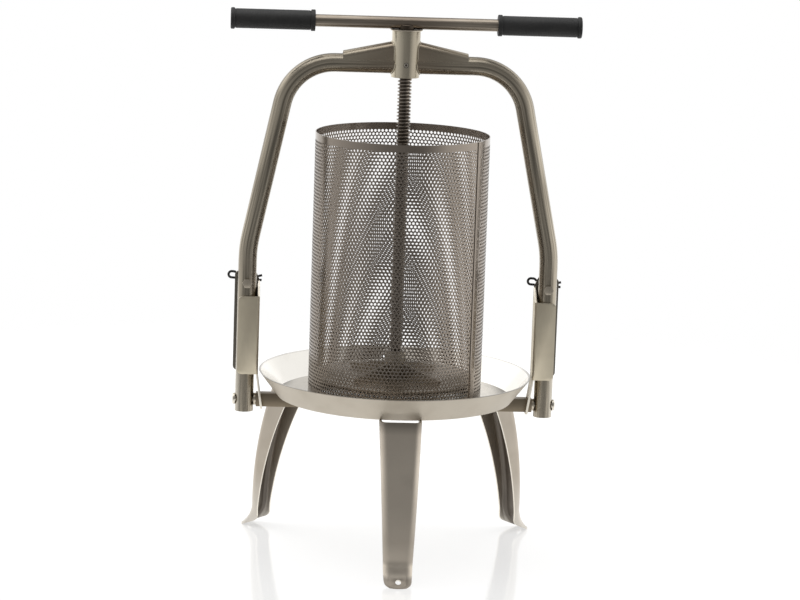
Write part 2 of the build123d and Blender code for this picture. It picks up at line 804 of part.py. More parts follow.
# The press plate with its boss, ribs and swivel
with BuildPart() as press_plate:
    with BuildSketch(Plane.XY.offset(plate_underside)) as plate_section:
        Circle(plate_diameter / 2)
    extrude(amount=plate_thickness)
    fillet(press_plate.edges(), radius=plate_edge_radius)
save(press_plate.part, "press_plate")

pin_offset = journal_groove_diameter / 2 + swivel_pin_diameter / 2 + running_clearance
with BuildPart() as plate_boss:
    with BuildSketch(Plane.XY.offset(plate_top)) as boss_section:
        Circle(boss_od / 2)
        Circle(journal_diameter / 2 + running_clearance, mode=Mode.SUBTRACT)
    extrude(amount=boss_top - plate_top)
    with BuildSketch(Plane.YZ.offset(-boss_od)) as swivel_holes:
        with Locations((-pin_offset, swivel_pin_height), (pin_offset, swivel_pin_height)):
            Circle(swivel_pin_diameter / 2)
    extrude(amount=2 * boss_od, mode=Mode.SUBTRACT)
save(plate_boss.part, "plate_boss")

pin_half = math.sqrt((boss_od / 2) ** 2 - (pin_offset + swivel_pin_diameter / 2) ** 2)
for pin_name, pin_side in (("front_swivel_pin", -1), ("back_swivel_pin", 1)):
    with BuildPart() as swivel_pin:
        with BuildSketch(Plane.YZ.offset(-pin_half)) as swivel_pin_section:
            with Locations((pin_side * pin_offset, swivel_pin_height)):
                Circle(swivel_pin_diameter / 2)
        extrude(amount=2 * pin_half)
    save(swivel_pin.part, pin_name)

with BuildPart() as thrust_button:
    with BuildSketch(Plane.XY.offset(plate_top)) as button_section:
        Circle(journal_diameter / 2)
    extrude(amount=button_thickness)
save(thrust_button.part, "thrust_button")

for rib_number, rib_name in enumerate(rib_names):
    rib_angle = first_rib_angle + rib_number * 360 / len(rib_names)
    heading = Vector(1, 0, 0).rotate(Axis.Z, rib_angle)
    rib_view = Plane(origin=(0, 0, 0), x_dir=heading, z_dir=heading.cross(up))
    with BuildPart() as plate_rib:
        with BuildSketch(rib_view) as rib_side:
            Polygon(
                (0, plate_top),
                (rib_reach, plate_top),
                (rib_reach, plate_top + rib_end_height),
                (boss_od / 2, plate_top + rib_boss_height),
                (0, plate_top + rib_boss_height),
                align=None,
            )
        extrude(amount=rib_thickness / 2, both=True)
        with BuildSketch(Plane.XY.offset(plate_top)) as boss_cope:
            Circle(boss_od / 2)
        extrude(amount=boss_top - plate_top, mode=Mode.SUBTRACT)
    save(plate_rib.part, f"{rib_name}_plate_rib")

# The basket: a sheet rolled to a cylinder, with a grid of openings that stands for its fine perforation.
# No opening lies under the strip that laps the sheet's seam.
grid_middle = pan_floor + basket_height / 2
grid_step = 360 / grid_columns
grid_seam_gap = math.degrees((seam_width + grid_hole_diameter) / basket_od)
with BuildPart() as basket_wall:
    with BuildSketch(Plane.XY.offset(pan_floor)) as wall_section:
        Circle(basket_od / 2)
        Circle(basket_od / 2 - basket_sheet, mode=Mode.SUBTRACT)
    extrude(amount=basket_height)
    openings = []
    for row in range(grid_rows):
        opening_height = grid_middle + (row - (grid_rows - 1) / 2) * grid_row_step
        for column in range(grid_columns):
            from_seam = (column + (row % 2) / 2) * grid_step
            if min(from_seam, 360 - from_seam) < grid_seam_gap:
                continue
            outward = Vector(1, 0, 0).rotate(Axis.Z, seam_angle + from_seam)
            openings.append(Plane(origin=up * opening_height, x_dir=up.cross(outward), z_dir=outward))
    with BuildSketch(*openings) as opening_sections:
        Circle(grid_hole_diameter / 2)
    extrude(amount=basket_od, mode=Mode.SUBTRACT)
save(basket_wall.part, "basket_wall")

seam_arc = math.degrees(seam_width / (basket_od / 2))
seam_direction = Vector(1, 0, 0).rotate(Axis.Z, seam_angle - seam_arc / 2)
with BuildPart() as basket_seam:
    with BuildSketch(Plane(origin=(0, 0, 0), x_dir=seam_direction, z_dir=seam_direction.cross(up))) as strip:
        with BuildLine():
            Polyline(
                (basket_od / 2, pan_floor),
                (basket_od / 2 + seam_thickness, pan_floor),
                (basket_od / 2 + seam_thickness, pan_floor + basket_height),
                (basket_od / 2, pan_floor + basket_height),
                close=True,
            )
        make_face()
    revolve(axis=Axis.Z, revolution_arc=seam_arc)
save(basket_seam.part, "basket_seam")
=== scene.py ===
"""Looks of the screw fruit press: finer meshes, materials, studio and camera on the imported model.

Metres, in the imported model's frame: +Z up, the front of the press at -Y. Sizes of the press at the
top are in millimetres, those of the studio in metres.
"""

import json
import math
from collections import namedtuple

import bmesh
import bpy
from mathutils import Euler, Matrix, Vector


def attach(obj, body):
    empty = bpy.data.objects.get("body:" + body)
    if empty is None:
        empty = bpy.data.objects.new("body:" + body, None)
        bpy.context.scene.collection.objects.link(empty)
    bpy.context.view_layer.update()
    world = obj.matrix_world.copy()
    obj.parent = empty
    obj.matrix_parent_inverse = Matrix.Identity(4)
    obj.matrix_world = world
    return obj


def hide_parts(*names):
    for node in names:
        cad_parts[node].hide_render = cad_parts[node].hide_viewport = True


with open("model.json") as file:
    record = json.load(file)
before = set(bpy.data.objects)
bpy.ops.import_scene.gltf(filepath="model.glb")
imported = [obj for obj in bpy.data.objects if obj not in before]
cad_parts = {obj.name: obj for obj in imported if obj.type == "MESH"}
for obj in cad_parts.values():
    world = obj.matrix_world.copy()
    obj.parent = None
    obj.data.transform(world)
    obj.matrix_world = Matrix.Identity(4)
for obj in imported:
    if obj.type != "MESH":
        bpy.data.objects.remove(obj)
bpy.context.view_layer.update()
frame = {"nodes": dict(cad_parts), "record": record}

MM = 0.001

# Basket sheet and its holes
basket_radius = 100.0
basket_sheet = 0.8
basket_bottom = 180.5
basket_top = 485.0
hole_columns = 140
hole_rows = 73
hole_row_step = 3.912
hole_first_row = 13.0
hole_diameter = 3.3

# Lap strip of the basket: its edges are rounded from a share of the half width on
seam_angle = -32.0
seam_width = 11.0
seam_thickness = 1.2
seam_columns = 12
seam_rows = 420
seam_round_from = 0.8
seam_round_depth = 0.5
seam_weld_step = 11.7
seam_weld_radius = 1.3
seam_weld_depth = 0.35

# Screw
screw_root = 6.0
screw_peak = 8.0
screw_pitch = 4.0
thread_crest = 1.3
thread_flank = 0.536
thread_bottom = 234.0
thread_turns = 91
thread_steps = 32
thread_overlap = 1.0
journal_radius = 5.5
journal_bottom = 206.1
journal_chamfer = 0.6
groove_radius = 4.0
groove_low = 214.4
groove_high = 218.6
shank_top = 604.8
shank_taper_low = 3.0
shank_taper_high = 1.5
neck_radius = 9.5
neck_top = 610.3
neck_low_chamfer = 0.5
neck_top_chamfer = 0.8
screw_steps = 48

# Handle grips
handle_height = 611.8
handle_radius = 7.0
grip_start = 104.0
grip_end = 200.0
grip_radius = 11.25
grip_mouth = 0.5
grip_flange_radius = 12.25
grip_flange_width = 5.0
grip_inner_corner = 0.9
grip_outer_corner = 1.5
grip_corner_parts = 5
grip_groove_width = 1.1
grip_groove_depth = 0.5
grip_rib_step = 1.9
grip_rib_depth = 0.14
grip_rib_parts = 6
grip_rim_width = 4.5
grip_dish_slope = 0.5
grip_dish_depth = 0.4
grip_steps = 64

# Arch: the corners of its middle line from the hub down one side, as (x, z), and their radii
arch_height = 564.5
arch_corners = ((0.0, arch_height), (129.0, arch_height), (173.5, 350.0), (173.5, 158.0))
arch_radii = (60.0, 140.0)
tube_radius = 10.65

# Welds between hub, tubes and gussets; the angles of the tube's weld are in degrees
hub_radius = 16.25
gusset_half_width = 9.3
gusset_top_at_hub = 590.5
gusset_fold_radius = 8.5
tube_weld_radius = 1.1
tube_weld_start = -190.0
tube_weld_sweep = 200.0
tube_weld_parts = 60
gusset_weld_radius = 0.88
gusset_weld_rise = 4.0
gusset_weld_parts = 12
bead_steps = 10
bead_ripple = 0.12
bead_ripple_turn = 1.7
bead_end = 0.35

# Socket screw in the front of the hub: edges of its socket and of the gap round it, as shares
set_screw_height = 565.0
set_screw_radius = 3.0
socket_edge = (0.38, 0.50)
gap_edge = (0.72, 0.82)

# Top of the pan's rim
pan_rim = 206.5

# Copies of solids: points closer than this (metres) are one, and the angles are in degrees
same_point = 1e-6
flat_angle = 0.2
soften_angle = 30.0
smooth_angle = 30.0
cut_angle = 60.0

# Studio floor
floor_glow = 0.565
floor_glow_in_metal = 0.80
floor_colour = (0.42, 0.42, 0.415)
floor_roughness = 0.10
floor_ior = 1.27
floor_radius = 1.05
floor_fade_start = 0.72
floor_middle = 0.35
floor_rings = 6
floor_steps = 96

# Studio room: light levels round it, as (place, level). Places 0 and 1 lie behind the press, 0.5 in
# front, 0.25 on its left and 0.75 on its right. The upper levels and the ceiling come in over a
# range of slopes, where 1 is straight up.
horizon_levels = ((0.00, 1.30), (0.12, 1.15), (0.17, 1.00), (0.23, 0.80), (0.28, 0.64), (0.36, 0.49),
                  (0.42, 0.37), (0.47, 0.31), (0.53, 0.24), (0.575, 0.30), (0.62, 0.55), (0.66, 0.93),
                  (0.73, 1.13), (0.80, 1.30), (0.90, 1.30), (1.00, 1.30))
upper_levels = ((0.00, 0.42), (0.04, 0.45), (0.09, 1.55), (0.24, 1.55), (0.31, 0.55), (0.38, 0.24),
                (0.50, 0.20), (0.62, 0.24), (0.69, 0.55), (0.76, 1.10), (0.91, 1.10), (0.96, 0.45),
                (1.00, 0.42))
upper_slopes = (0.20, 0.36)
ceiling_level = 0.55
ceiling_slopes = (0.80, 0.95)

# Lamp over the press
lamp_place = (-0.4, -0.1, 2.6)
lamp_aim = (-0.4, -0.1, 0.0)
lamp_size = 2.4
lamp_power = 20.0

# Camera, found by fitting known points of the press to the photograph
camera_place = (-0.2429, -3.8377, 0.9920)
camera_aim = (0.00318, -0.0002, 0.2915)
camera_roll = 0.034833
camera_lens = 152.45
camera_sensor = 36.0


# Mesh helpers

def add_piece(name, points, faces, body, slot, nodes, sharp, look=None):
    """A new mesh piece from points in millimetres, shaded smooth up to the sharp angle."""
    mesh = bpy.data.meshes.new(name)
    mesh.from_pydata([(x * MM, y * MM, z * MM) for x, y, z in points], [], faces)
    mesh.validate()
    return finish_piece(name, mesh, body, slot, nodes, sharp, look)


def finish_piece(name, mesh, body, slot, nodes, sharp, look=None):
    """Links a mesh as a piece that rides on a body and stands for some nodes.

    look: a material other than the slot's own.
    """
    mesh.polygons.foreach_set("use_smooth", [True] * len(mesh.polygons))
    mesh.set_sharp_from_angle(angle=math.radians(sharp))
    piece = bpy.data.objects.new(name, mesh)
    bpy.context.scene.collection.objects.link(piece)
    mesh.materials.append(materials[look or slot])
    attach(piece, body)
    if nodes:
        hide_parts(*nodes)
    return piece


def lathe(outline, steps, place):
    """Points and faces of an outline of (radius, along) pairs turned round an axis.

    place: maps two parts across the axis and one along it to x, y and z.
    """
    points, faces, rings = [], [], []
    for radius, along in outline:
        if radius == 0:
            rings.append([len(points)] * steps)
            points.append(place(0.0, 0.0, along))
            continue
        rings.append(list(range(len(points), len(points) + steps)))
        for step in range(steps):
            turn = 2 * math.pi * step / steps
            points.append(place(radius * math.cos(turn), radius * math.sin(turn), along))
    for low, high in zip(rings, rings[1:]):
        for step in range(steps):
            after = (step + 1) % steps
            corners = [low[step], low[after], high[after], high[step]]
            kept = list(dict.fromkeys(corners))
            if len(kept) > 2:
                faces.append(kept)
    return points, faces


def upright(x, y, along):
    """A place round the screw's axis, for lathe."""
    return x, y, along


def join(*meshes):
    """One list of points and faces from several."""
    points, faces = [], []
    for more_points, more_faces in meshes:
        shift = len(points)
        points += more_points
        faces += [[corner + shift for corner in face] for face in more_faces]
    return points, faces


def bead(path, radius):
    """A round weld bead along a path of points, with ripples and thinner ends."""
    points, faces, rings = [], [], []
    side = None
    last = len(path) - 1
    for index, here in enumerate(path):
        before, after = path[max(index - 1, 0)], path[min(index + 1, last)]
        along = (Vector(after) - Vector(before)).normalized()
        if side is None:
            side = along.orthogonal().normalized()
        else:
            side = (side - along * side.dot(along)).normalized()
        other = along.cross(side)
        ripple = 1.0 + bead_ripple * math.sin(index * bead_ripple_turn)
        end_fade = min(1.0, bead_end + bead_end * min(index, last - index))
        swell = radius * ripple * end_fade
        rings.append(len(points))
        for step in range(bead_steps):
            turn = 2 * math.pi * step / bead_steps
            across = math.cos(turn) * side + math.sin(turn) * other
            points.append(tuple(Vector(here) + swell * across))
    for low, high in zip(rings, rings[1:]):
        for step in range(bead_steps):
            after = (step + 1) % bead_steps
            faces.append([low + step, low + after, high + after, high + step])
    faces.append(list(range(rings[0] + bead_steps - 1, rings[0] - 1, -1)))
    faces.append(list(range(rings[-1], rings[-1] + bead_steps)))
    return points, faces


def sharp_edges(edges, angle):
    """Those of some edges whose two faces meet at more than an angle."""
    return [edge for edge in edges
            if len(edge.link_faces) == 2 and edge.calc_face_angle() > math.radians(angle)]


def mark_cut_edges(form, sheet):
    """Gives the narrow faces between two sharp edges, one thickness apart, the second material."""
    thinnest, thickest, narrow = 0.75 * sheet * MM, 1.25 * sheet * MM, 1.2 * sheet * MM
    parallel = 0.9
    for face in form.faces:
        if face.calc_area() / (face.calc_perimeter() / 2) > narrow:
            continue
        lines = []
        for edge in sharp_edges(face.edges, cut_angle):
            start, end = (corner.co for corner in edge.verts)
            lines.append(((start + end) / 2, (end - start).normalized()))
        for number, (middle, along) in enumerate(lines):
            for other_middle, other_along in lines[number + 1:]:
                gap = other_middle - middle
                gap -= along * gap.dot(along)
                if abs(along.dot(other_along)) > parallel and thinnest < gap.length < thickest:
                    face.material_index = 1


def softened(node, width, slot, body="stand", segments=2, look=None, sheet=None, worn=False):
    """A copy of a node's solid with its sharp edges rounded, standing for that node.

    sheet: thickness of a sheet piece, whose cut edges get a brighter steel, part wear and part
    painted highlight.
    worn: the rounded edges get that brighter steel too.
    """
    form = bmesh.new()
    form.from_mesh(frame["nodes"][node].data)
    bmesh.ops.remove_doubles(form, verts=form.verts, dist=same_point)
    bmesh.ops.dissolve_limit(form, angle_limit=math.radians(flat_angle),
                             verts=form.verts, edges=form.edges)
    if sheet:
        mark_cut_edges(form, sheet)
    bmesh.ops.bevel(form, geom=sharp_edges(form.edges, soften_angle), offset=width * MM,
                    offset_type="WIDTH", segments=segments, profile=0.5, affect="EDGES",
                    clamp_overlap=True, miter_outer="ARC", material=1 if worn else -1)
    bmesh.ops.triangulate(form, faces=[face for face in form.faces if len(face.verts) > 4])
    mesh = bpy.data.meshes.new(node + "_soft")
    form.to_mesh(mesh)
    form.free()
    finish_piece(node + "_soft", mesh, body, slot, [node], smooth_angle, look)
    if sheet:
        mesh.materials.append(materials["bright_wear_and_highlight"])


# Node helpers

class Nodes:
    """Short ways to add the nodes used here to a node tree."""

    def __init__(self, tree):
        self.tree = tree

    def add(self, kind, **settings):
        made = self.tree.nodes.new(kind)
        for key, value in settings.items():
            setattr(made, key, value)
        return made

    def link(self, source, target):
        self.tree.links.new(source, target)

    def put(self, value, socket):
        """Gives a socket a colour, a number or another node's output."""
        if isinstance(value, tuple):
            socket.default_value = (*value, 1.0)
        elif isinstance(value, (int, float)):
            socket.default_value = value
        else:
            self.link(value, socket)

    def math(self, kind, first, second=None):
        made = self.add("ShaderNodeMath", operation=kind)
        self.put(first, made.inputs[0])
        if second is not None:
            self.put(second, made.inputs[1])
        return made.outputs[0]

    def spread(self, source, low, high, from_low=0.3, from_high=0.7, curve="LINEAR"):
        """Low to high while the source goes through its range, and no further."""
        made = self.add("ShaderNodeMapRange", clamp=True, interpolation_type=curve)
        made.inputs["From Min"].default_value = from_low
        made.inputs["From Max"].default_value = from_high
        made.inputs["To Min"].default_value = low
        made.inputs["To Max"].default_value = high
        self.link(source, made.inputs["Value"])
        return made.outputs["Result"]

    def ramp(self, source, stops):
        made = self.add("ShaderNodeValToRGB")
        elements = made.color_ramp.elements
        while len(elements) < len(stops):
            elements.new(0.5)
        for element, (position, colour) in zip(elements, stops):
            element.position = position
            element.color = (*colour, 1.0)
        self.link(source, made.inputs["Fac"])
        return made.outputs["Color"]

    def mix(self, amount, first, second):
        made = self.add("ShaderNodeMix", data_type="RGBA")
        self.put(amount, made.inputs["Factor"])
        self.put(first, made.inputs["A"])
        self.put(second, made.inputs["B"])
        return made.outputs["Result"]

    def split(self, source):
        """The three parts of a vector."""
        parts = self.add("ShaderNodeSeparateXYZ")
        self.link(source, parts.inputs["Vector"])
        return parts.outputs

    def length(self, first, second):
        """Length of a vector with two parts."""
        return self.math("SQRT", self.math("ADD", self.math("MULTIPLY", first, first),
                                           self.math("MULTIPLY", second, second)))


class Look(Nodes):
    """A node material, with short ways to add the textures used here.

    Textures sit at the object's own places, or at those in a named attribute of its mesh.
    """

    def __init__(self, name, places=None):
        self.material = bpy.data.materials.new(name)
        self.material.use_nodes = True
        super().__init__(self.material.node_tree)
        self.shader = self.tree.nodes["Principled BSDF"]
        if places:
            self.place = self.add("ShaderNodeAttribute", attribute_name=places).outputs["Vector"]
        else:
            self.place = self.add("ShaderNodeTexCoord").outputs["Object"]

    def noise(self, scale, detail, stretch=(1.0, 1.0, 1.0), source=None):
        mapping = self.add("ShaderNodeMapping")
        mapping.inputs["Scale"].default_value = stretch
        self.link(source or self.place, mapping.inputs["Vector"])
        texture = self.add("ShaderNodeTexNoise")
        texture.inputs["Scale"].default_value = scale
        texture.inputs["Detail"].default_value = detail
        self.link(mapping.outputs["Vector"], texture.inputs["Vector"])
        return texture.outputs["Fac"]

    def part(self, axis):
        """The place along an axis, in metres."""
        return self.split(self.place)[axis]

    def radius(self):
        """Distance from the screw's axis, in metres."""
        return self.length(self.part("X"), self.part("Y"))

    def facing(self):
        """The parts of the surface's normal."""
        return self.split(self.add("ShaderNodeNewGeometry").outputs["Normal"])

    def outward(self):
        """1 where the surface looks away from the screw's axis, -1 where it looks towards it."""
        normal = self.facing()
        along = self.math("ADD", self.math("MULTIPLY", self.part("X"), normal["X"]),
                          self.math("MULTIPLY", self.part("Y"), normal["Y"]))
        return self.math("DIVIDE", along, self.radius())

    def rings(self, scale):
        """Noise that runs round the screw's axis, as a spinning or turning tool leaves it."""
        joined = self.add("ShaderNodeCombineXYZ")
        self.link(self.radius(), joined.inputs["X"])
        self.link(self.part("Z"), joined.inputs["Z"])
        return self.noise(scale, 2.0, source=joined.outputs["Vector"])

    def bump(self, source, strength, depth):
        made = self.add("ShaderNodeBump")
        made.inputs["Strength"].default_value = strength
        made.inputs["Distance"].default_value = depth * MM
        self.link(source, made.inputs["Height"])
        self.link(made.outputs["Normal"], self.shader.inputs["Normal"])

    def base(self, source):
        self.link(source, self.shader.inputs["Base Color"])

    def rough(self, source):
        self.link(source, self.shader.inputs["Roughness"])

    def metal(self):
        self.shader.inputs["Metallic"].default_value = 1.0


# Marks on steel. Lengths are in millimetres, and a share says how far a tint covers what lies below.

# Long polishing marks
Streaks = namedtuple("Streaks", "scale stretch share")

# The inside of the pan, less smudged and glossier, with painted sheen: colour of faces that look
# partly up, and of level ones
SheenAndPolish = namedtuple("SheenAndPolish", "tilted level roughness")

# Brown tint near a weld, by the distance from the screw's axis
Heat = namedtuple("Heat", "full gone tint share")

# A tint that grows along an axis, from where it is clear to where it is full
# outside: how much of it is left on faces that don't look against that axis
# fade: how it fades along another axis
Stain = namedtuple("Stain", "axis clear full tint share outside fade", defaults=(1.0, None))
Fade = namedtuple("Fade", "axis full least share")

# Painted shade: a dark tint of faces that look towards the screw's axis
Inside = namedtuple("Inside", "tint share")

# A tint whose share follows the height, as (height, share) pairs from the floor to the top
Bands = namedtuple("Bands", "top tint shares")

cloud_scale = 11.0
smudge_scale = 34.0
smudge_tint = (0.34, 0.28, 0.21)
smudge_gloss = 0.05
smudge_range = (0.50, 0.72)
grain_share = 0.3
darker, lighter = 0.93, 1.06
streak_dark, streak_light = 0.40, 1.55


def shade(colour, amount):
    return tuple(channel * amount for channel in colour)


def streaked(look, tone, colour, streaks):
    marks = look.noise(streaks.scale, 2.0, streaks.stretch)
    dark = look.spread(marks, streaks.share, 0.0, 0.36, 0.49)
    light = look.spread(marks, 0.0, streaks.share, 0.51, 0.64)
    return look.mix(light, look.mix(dark, tone, shade(colour, streak_dark)),
                    shade(colour, streak_light))


def stained(look, tone, stain):
    amount = look.spread(look.part(stain.axis), 0.0, stain.share, stain.clear * MM, stain.full * MM)
    if stain.outside < 1.0:
        turned = look.spread(look.facing()[stain.axis], 1.0, stain.outside, -0.7, -0.3)
        amount = look.math("MULTIPLY", amount, turned)
    if stain.fade:
        fade = stain.fade
        reach = look.spread(look.part(fade.axis), 1.0, fade.share, fade.full * MM, fade.least * MM)
        amount = look.math("MULTIPLY", amount, reach)
    return look.mix(amount, tone, stain.tint)


def steel(name, colour, roughness, grain_stretch=(1.0, 1.0, 1.0), grain_scale=1200.0,
          grain_depth=0.02, rings=False, places=None, streaks=None, sheen_and_polish=None, heat=None, stains=(),
          inside=None, bands=None):
    """Satin steel: a fine grain and broad soft clouds in tone and gloss, under the marks given."""
    look = Look(name, places)
    grain = look.rings(grain_scale) if rings else look.noise(grain_scale, 2.0, grain_stretch)
    clouds = look.noise(cloud_scale, 2.0)
    smudges = look.noise(smudge_scale, 3.0)
    mottle = look.math("ADD", look.math("MULTIPLY", grain, grain_share),
                       look.math("MULTIPLY", clouds, 1.0 - grain_share))
    tone = look.ramp(mottle, ((0.30, shade(colour, darker)), (0.50, colour),
                              (0.70, shade(colour, lighter))))
    tone = look.mix(look.spread(smudges, 0.0, 0.12, *smudge_range), tone, smudge_tint)
    gloss = look.math("ADD", look.spread(grain, -0.02, 0.02),
                      look.spread(smudges, roughness - smudge_gloss / 2, roughness + smudge_gloss))
    if streaks:
        tone = streaked(look, tone, colour, streaks)
    # Painted sheen: faces that look up get the lighter inside colours, with fewer smudges and a lower
    # roughness
    if sheen_and_polish:
        looks_up = look.spread(look.facing()["Z"], 0.0, 1.0, -0.05, 0.25)
        level = look.spread(look.facing()["Z"], 0.0, 1.0, 0.80, 0.97)
        sheen_and_polish_tone = look.mix(look.spread(smudges, 0.0, 0.08, *smudge_range), sheen_and_polish.tilted, colour)
        sheen_and_polish_tone = look.mix(level, sheen_and_polish_tone, sheen_and_polish.level)
        tone = look.mix(looks_up, tone, sheen_and_polish_tone)
        gloss = look.math("ADD", gloss,
                          look.math("MULTIPLY", looks_up, sheen_and_polish.roughness - roughness))
    if heat:
        near = look.spread(look.radius(), heat.share, 0.0, heat.full * MM, heat.gone * MM)
        tone = look.mix(near, tone, heat.tint)
    for stain in stains:
        tone = stained(look, tone, stain)
    if inside:
        inward = look.spread(look.outward(), inside.share, 0.0, -0.60, -0.15)
        tone = look.mix(inward, tone, inside.tint)
    if bands:
        height = look.spread(look.part("Z"), 0.0, 1.0, 0.0, bands.top * MM)
        stops = [(place / bands.top, (share,) * 3) for place, share in bands.shares]
        tone = look.mix(look.ramp(height, stops), tone, bands.tint)
    look.base(tone)
    look.rough(gloss)
    look.metal()
    look.bump(grain, 0.25, grain_depth)
    return look.material


def screw_look(name):
    """Thread steel: worn bright crests, brown-black oil in the roots."""
    oil, dull, worn = (0.075, 0.060, 0.047), (0.26, 0.225, 0.19), (0.42, 0.37, 0.31)
    look = Look(name)
    clouds = look.noise(60.0, 4.0)
    streaks = look.noise(500.0, 3.0, (1.0, 1.0, 0.25))
    below_neck = look.spread(look.part("Z"), 1.0, 0.0,
                             (shank_top - 4.0) * MM, (shank_top - 1.0) * MM)
    outer = look.spread(look.radius(), 0.0, 1.0, (screw_root + 0.4) * MM, (screw_peak - 0.2) * MM)
    crest = look.math("MULTIPLY", outer, below_neck)
    look.base(look.mix(crest, oil, look.mix(look.spread(clouds, 0.0, 1.0), dull, worn)))
    look.rough(look.math("ADD", look.spread(streaks, 0.28, 0.46),
                         look.math("MULTIPLY", crest, -0.06)))
    look.metal()
    look.bump(streaks, 0.3, 0.05)
    return look.material


def socket_screw(name):
    """Bright face of a small socket screw, with painted shade in the socket and in the gap round it.
    """
    socket_and_gap_shade = (0.045, 0.038, 0.030)
    look = Look(name)
    up = look.math("SUBTRACT", look.part("Z"), set_screw_height * MM)
    from_middle = look.length(look.part("X"), up)
    grain = look.noise(2500.0, 2.0)
    bright = look.ramp(grain, ((0.3, (0.62, 0.57, 0.48)), (0.7, (0.80, 0.75, 0.66))))
    in_socket = look.spread(from_middle, 0.9, 0.0,
                            *(share * set_screw_radius * MM for share in socket_edge))
    in_gap = look.spread(from_middle, 0.0, 0.92,
                         *(share * set_screw_radius * MM for share in gap_edge))
    look.base(look.mix(look.math("MAXIMUM", in_socket, in_gap), bright, socket_and_gap_shade))
    look.rough(look.spread(grain, 0.30, 0.42))
    look.metal()
    look.bump(grain, 0.2, 0.01)
    return look.material


def rubber(name):
    """Matt black rubber with a pebbled skin and a little dust."""
    look = Look(name)
    pebbles = look.noise(1500.0, 2.0)
    dust = look.noise(70.0, 5.0, (0.5, 1.0, 1.0))
    look.base(look.ramp(dust, ((0.35, (0.012, 0.012, 0.012)), (0.75, (0.030, 0.029, 0.028)))))
    look.rough(look.spread(pebbles, 0.50, 0.68))
    look.bump(pebbles, 0.4, 0.10)
    return look.material


def black_paint(name):
    """Black wire coating, chipped to grey in a few places."""
    look = Look(name)
    chips = look.noise(420.0, 4.0)
    skin = look.noise(900.0, 2.0)
    look.base(look.ramp(chips, ((0.60, (0.016, 0.016, 0.017)), (0.72, (0.10, 0.095, 0.09)))))
    look.rough(look.spread(skin, 0.30, 0.46))
    look.bump(skin, 0.25, 0.05)
    return look.material


def bronze(name):
    """Turned bronze, slightly browned."""
    look = Look(name)
    turned = look.rings(2500.0)
    brown = look.noise(120.0, 4.0)
    look.base(look.ramp(brown, ((0.35, (0.30, 0.19, 0.09)), (0.65, (0.50, 0.34, 0.16)))))
    look.rough(look.spread(turned, 0.26, 0.40))
    look.metal()
    look.bump(turned, 0.3, 0.04)
    return look.material


# Materials

along_z = (1.0, 1.0, 0.06)
along_x = (0.05, 1.0, 1.0)
brushed = {"grain_stretch": along_z, "grain_scale": 1500.0}

weld_tint = (0.27, 0.20, 0.14)
gusset_heat = Heat(18.0, 75.0, weld_tint, 0.45)
bar_heat = Heat(12.0, 62.0, (0.17, 0.135, 0.105), 0.65)
bar_streaks = Streaks(800.0, (0.01, 1.0, 1.0), 0.45)
pan_sheen_and_polish = SheenAndPolish((0.81, 0.785, 0.735), (0.56, 0.535, 0.50), 0.19)
# Painted shade: a dark line along the top of the pan's rim, weaker towards the back
rim_shade_line = Stain("Z", pan_rim - 1.2, pan_rim - 0.5, (0.20, 0.18, 0.15), 0.75,
                 fade=Fade("Y", -10.0, 40.0, 0.25))
# Painted shade and reflection: the front leg darker at its foot, over its lower shin and just under
# the pan
front_leg_painted_shade = Bands(180.0, (0.25, 0.22, 0.185),
                  ((0.0, 0.92), (8.0, 0.88), (12.0, 0.0), (21.0, 0.0), (25.0, 0.60),
                   (48.0, 0.68), (125.0, 0.0), (166.0, 0.0), (177.0, 0.80)))
# Painted highlight: the side legs lighter towards the floor
side_foot_painted_highlight = Stain("Z", 75.0, 8.0, (0.64, 0.61, 0.56), 0.75)
# Painted shade inside the legs' channels
leg_inside_shade = Inside((0.125, 0.108, 0.092), 0.93)
# Painted shade: the hub darker towards its right side
hub_side_painted_shade = Stain("X", -7.0, 9.0, (0.30, 0.26, 0.20), 0.66)
channel_shade = Stain("Y", 2.0, 9.0, (0.10, 0.092, 0.085), 0.85, outside=0.45)

# On the tubes, X is the distance off the arch's middle line and Z the way along it from the hub
tube_heat = Stain("Z", 75.0, 18.0, weld_tint, 0.45)
# Painted highlight: the outer side of each tube lighter near its foot
tube_foot_painted_highlight = Stain("X", 4.0, 9.0, (0.56, 0.52, 0.45), 0.70, fade=Fade("Z", 480.0, 455.0, 0.0))
tube_streaks = Streaks(520.0, (1.0, 1.0, 0.02), 0.62)

